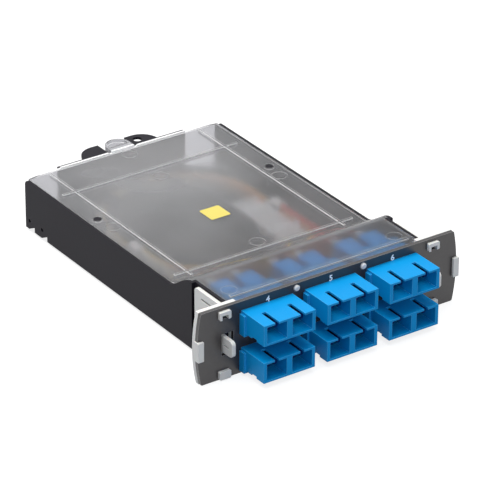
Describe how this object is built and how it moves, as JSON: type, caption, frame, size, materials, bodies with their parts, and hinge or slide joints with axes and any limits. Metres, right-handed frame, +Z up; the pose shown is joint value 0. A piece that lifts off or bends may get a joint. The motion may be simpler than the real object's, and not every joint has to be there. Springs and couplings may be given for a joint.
{
  "type": "fibre splice module",
  "caption": "Slide-in fibre splice module: black tray under a clear lid, with blue duplex adapters on its face plate and a white latch at each side.",
  "frame": {"origin": "centre of the module's footprint, on the bottom edge of the face plate", "axes": "+Y from the ports to the rear cable entries, +Z up, +X to the right as seen from the ports"},
  "size_m": [0.1334, 0.185, 0.0334],
  "materials": {
    "black_tray": "satin",
    "black_plate": "satin",
    "clear_lid": "frosted",
    "yellow_sticker": "matte",
    "white_nylon": "satin",
    "blue_adapter": "gloss",
    "blue_connector": "gloss",
    "pale_boot": "matte",
    "white_ceramic": "polished",
    "grey_holder": "matte",
    "clear_sleeve": "gloss",
    "steel_screw": "satin",
    "red_fibre": "satin",
    "yellow_fibre": "satin",
    "clear_tie": "satin"
  },
  "bodies": {
    "module": {"tray": "black_tray", "face_plate": "black_plate", "latch_bracket_left": "white_nylon", "latch_bracket_right": "white_nylon", "adapter_1": "blue_adapter", "adapter_2": "blue_adapter", "adapter_3": "blue_adapter", "adapter_4": "blue_adapter", "adapter_5": "blue_adapter", "adapter_6": "blue_adapter", "sleeve_holders_1": "blue_adapter", "sleeve_holders_2": "blue_adapter", "sleeve_holders_3": "blue_adapter", "sleeve_holders_4": "blue_adapter", "sleeve_holders_5": "blue_adapter", "sleeve_holders_6": "blue_adapter", "alignment_sleeves": "white_ceramic", "pigtail_connector_1": "blue_connector", "pigtail_connector_2": "blue_connector", "pigtail_connector_3": "blue_connector", "pigtail_connector_4": "blue_connector", "pigtail_connector_5": "blue_connector", "pigtail_connector_6": "blue_connector", "pigtail_connector_7": "blue_connector", "pigtail_connector_8": "blue_connector", "pigtail_connector_9": "blue_connector", "pigtail_connector_10": "blue_connector", "pigtail_connector_11": "blue_connector", "pigtail_connector_12": "blue_connector", "boot_1": "pale_boot", "boot_2": "pale_boot", "boot_3": "pale_boot", "boot_4": "pale_boot", "boot_5": "pale_boot", "boot_6": "pale_boot", "boot_7": "pale_boot", "boot_8": "pale_boot", "boot_9": "pale_boot", "boot_10": "pale_boot", "boot_11": "pale_boot", "boot_12": "pale_boot", "pigtail_leads_1": "yellow_fibre", "pigtail_leads_2": "yellow_fibre", "pigtail_leads_3": "yellow_fibre", "pigtail_leads_4": "yellow_fibre", "pigtail_leads_5": "yellow_fibre", "pigtail_leads_6": "yellow_fibre", "lower_fibre_coil": "red_fibre", "upper_fibre_coil": "yellow_fibre", "coil_ties": "clear_tie", "splice_holder": "grey_holder", "holder_screws": "steel_screw", "splice_sleeves": "clear_sleeve"},
    "lid": {"lid": "clear_lid", "sticker": "yellow_sticker"},
    "left_latch": {"latch_lever_left": "white_nylon"},
    "right_latch": {"latch_lever_right": "white_nylon"}
  },
  "joints": [
    {"name": "lid_tilt", "type": "hinge", "parent": "module", "child": "lid", "pos_m": [0, -0.0752, 0.0312], "axis": [1, 0, 0], "range_deg": [0, 12]},
    {"name": "latch_left", "type": "hinge", "parent": "module", "child": "left_latch", "pos_m": [-0.0526, -0.0603, 0.0159], "axis": [0, 0, 1], "range_deg": [0, 6.5], "stiffness_Nm_per_rad": 0.06},
    {"name": "latch_right", "type": "hinge", "parent": "module", "child": "right_latch", "pos_m": [0.0526, -0.0603, 0.0159], "axis": [0, 0, -1], "range_deg": [0, 6.5], "stiffness_Nm_per_rad": 0.06}
  ]
}
